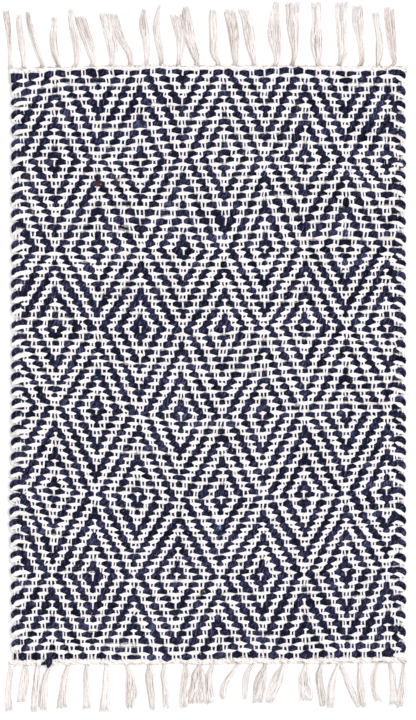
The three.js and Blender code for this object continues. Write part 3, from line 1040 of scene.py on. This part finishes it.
def yarn_material(name, stops, stretch, streak_scale, bump_distance, tone_share, sheen):
    """Soft spun yarn: streaks of fibre along a slight twist, and lighter and darker stretches."""
    material, tree, shader = new_material(name)
    streaks = noise_at(tree, fibre_coordinates(tree, stretch), streak_scale)
    tone = add_node(tree, "ShaderNodeAttribute", attribute_name="tone")
    shade = add_node(tree, "ShaderNodeMath", operation="MULTIPLY_ADD")
    shade.inputs[1].default_value = tone_share
    tree.links.new(tone.outputs["Fac"], shade.inputs[0])
    tree.links.new(streaks, shade.inputs[2])
    colour = ramp_of(tree, shade.outputs[0], stops)
    tree.links.new(colour, shader.inputs["Base Color"])
    tree.links.new(bump_of(tree, streaks, bump_distance), shader.inputs["Normal"])
    shader.inputs["Roughness"].default_value = YARN_ROUGHNESS
    shader.inputs["Specular IOR Level"].default_value = sheen
    return material


def navy_material():
    return yarn_material(
        "navy_yarn",
        stops=((0.38, "#07080f"), (0.5, "#191a2e"), (0.58, "#303250"), (0.67, "#62648a")),
        stretch=110.0,
        streak_scale=2.4,
        bump_distance=0.0014,
        tone_share=0.03,
        sheen=0.06,
    )


def cotton_material():
    return yarn_material(
        "white_yarn",
        stops=((0.3, "#dbd0d0"), (0.45, "#f2edee"), (0.6, "#fdfbfc")),
        stretch=200.0,
        streak_scale=1.6,
        bump_distance=0.0004,
        tone_share=0.06,
        sheen=0.2,
    )


def fringe_material():
    return yarn_material(
        "fringe_yarn",
        stops=((0.0, "#94857d"), (0.2, "#c9b9b0"), (0.36, "#e9dfda"), (0.52, "#fcf9f8")),
        stretch=60.0,
        streak_scale=1.6,
        bump_distance=0.0002,
        tone_share=0.07,
        sheen=0.2,
    )


def stray_material():
    """The tone of a fibre picks its colour, which is uneven along it."""
    material, tree, shader = new_material("stray_fibre")
    tone = add_node(tree, "ShaderNodeAttribute", attribute_name="tone")
    count = len(STRAY_COLOURS)
    place = add_node(tree, "ShaderNodeMath", operation="MULTIPLY_ADD")
    place.inputs[1].default_value = 1 / count
    place.inputs[2].default_value = 0.5 / count
    tree.links.new(tone.outputs["Fac"], place.inputs[0])
    stops = [(number / count, colour) for number, colour in enumerate(STRAY_COLOURS)]
    colour = ramp_of(tree, place.outputs[0], stops, interpolation="CONSTANT")
    streaks = noise_at(tree, fibre_coordinates(tree, stretch=200.0), scale=2.0)
    light = ramp_of(tree, streaks, ((0.3, "#b0b0b0"), (0.65, "#ffffff")))
    tree.links.new(multiply(tree, colour, light), shader.inputs["Base Color"])
    shader.inputs["Roughness"].default_value = YARN_ROUGHNESS
    return material


def floor_material():
    material, tree, shader = new_material("pale_floor")
    coordinates = add_node(tree, "ShaderNodeTexCoord")
    grain = noise_at(tree, coordinates.outputs["Object"], scale=3.0)
    colour = ramp_of(tree, grain, ((0.3, "#fbfbfb"), (0.7, "#ffffff")))
    tree.links.new(colour, shader.inputs["Base Color"])
    shader.inputs["Roughness"].default_value = FLOOR_ROUGHNESS
    return material


# The photograph's view: straight down, and this much of the floor from the top to the bottom of it
CAMERA_HEIGHT = 3.5
VIEW_HEIGHT = 1.1117
VIEW_MIDDLE = (0.0048, -0.0054)
SENSOR = 36.0

# An even sky, and a soft sun from the right and the top end
SKY_STRENGTH = 0.93
KEY_STRENGTH = 1.1
KEY_SPREAD = 25  # degrees
KEY_DIRECTION = (-0.85, -0.4, -1.2)
FLOOR_HALF = 3.0


def make_camera():
    data = bpy.data.cameras.new("camera")
    data.sensor_width = SENSOR
    data.lens = SENSOR * CAMERA_HEIGHT / VIEW_HEIGHT
    camera = bpy.data.objects.new("camera", data)
    camera.location = (*VIEW_MIDDLE, CAMERA_HEIGHT)
    bpy.context.scene.collection.objects.link(camera)
    bpy.context.scene.camera = camera


def make_light():
    world = bpy.data.worlds.new("soft_studio")
    world.use_nodes = True
    background = world.node_tree.nodes["Background"]
    background.inputs["Color"].default_value = (1, 1, 1, 1)
    background.inputs["Strength"].default_value = SKY_STRENGTH
    bpy.context.scene.world = world
    data = bpy.data.lights.new("key", "SUN")
    data.energy = KEY_STRENGTH
    data.angle = math.radians(KEY_SPREAD)
    key = bpy.data.objects.new("key", data)
    key.rotation_euler = Vector(KEY_DIRECTION).to_track_quat("-Z", "Y").to_euler()
    bpy.context.scene.collection.objects.link(key)


def make_floor():
    mesh = bpy.data.meshes.new("floor")
    signs = ((-1, -1), (1, -1), (1, 1), (-1, 1))
    corners = [(FLOOR_HALF * x, FLOOR_HALF * y, 0) for x, y in signs]
    mesh.from_pydata(corners, [], [(0, 1, 2, 3)])
    mesh.materials.append(floor_material())
    floor = bpy.data.objects.new("floor", mesh)
    bpy.context.scene.collection.objects.link(floor)
    return floor


def main():
    make_camera()
    make_light()
    make_floor()
    bpy.context.scene.view_settings.view_transform = "Standard"
    navy, cotton, thread = navy_material(), cotton_material(), fringe_material()
    weft = navy_weft(navy)
    half = WARP_COUNT // 2
    others = [
        white_weft(cotton),
        warps("warp_left", range(half), cotton),
        warps("warp_right", range(half, WARP_COUNT), cotton),
    ]
    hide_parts("woven_panel")
    for name, side, rows in (("top", 1, TOP_TASSELS), ("bottom", -1, BOTTOM_TASSELS)):
        band = heading(f"heading_{name}", side, thread)
        tassels = fringe(f"tassels_{name}", side, rows, thread)
        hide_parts(f"fringe_{name}")
        others.extend([band, tassels])
    others.append(stray_fibres(stray_material()))


main()
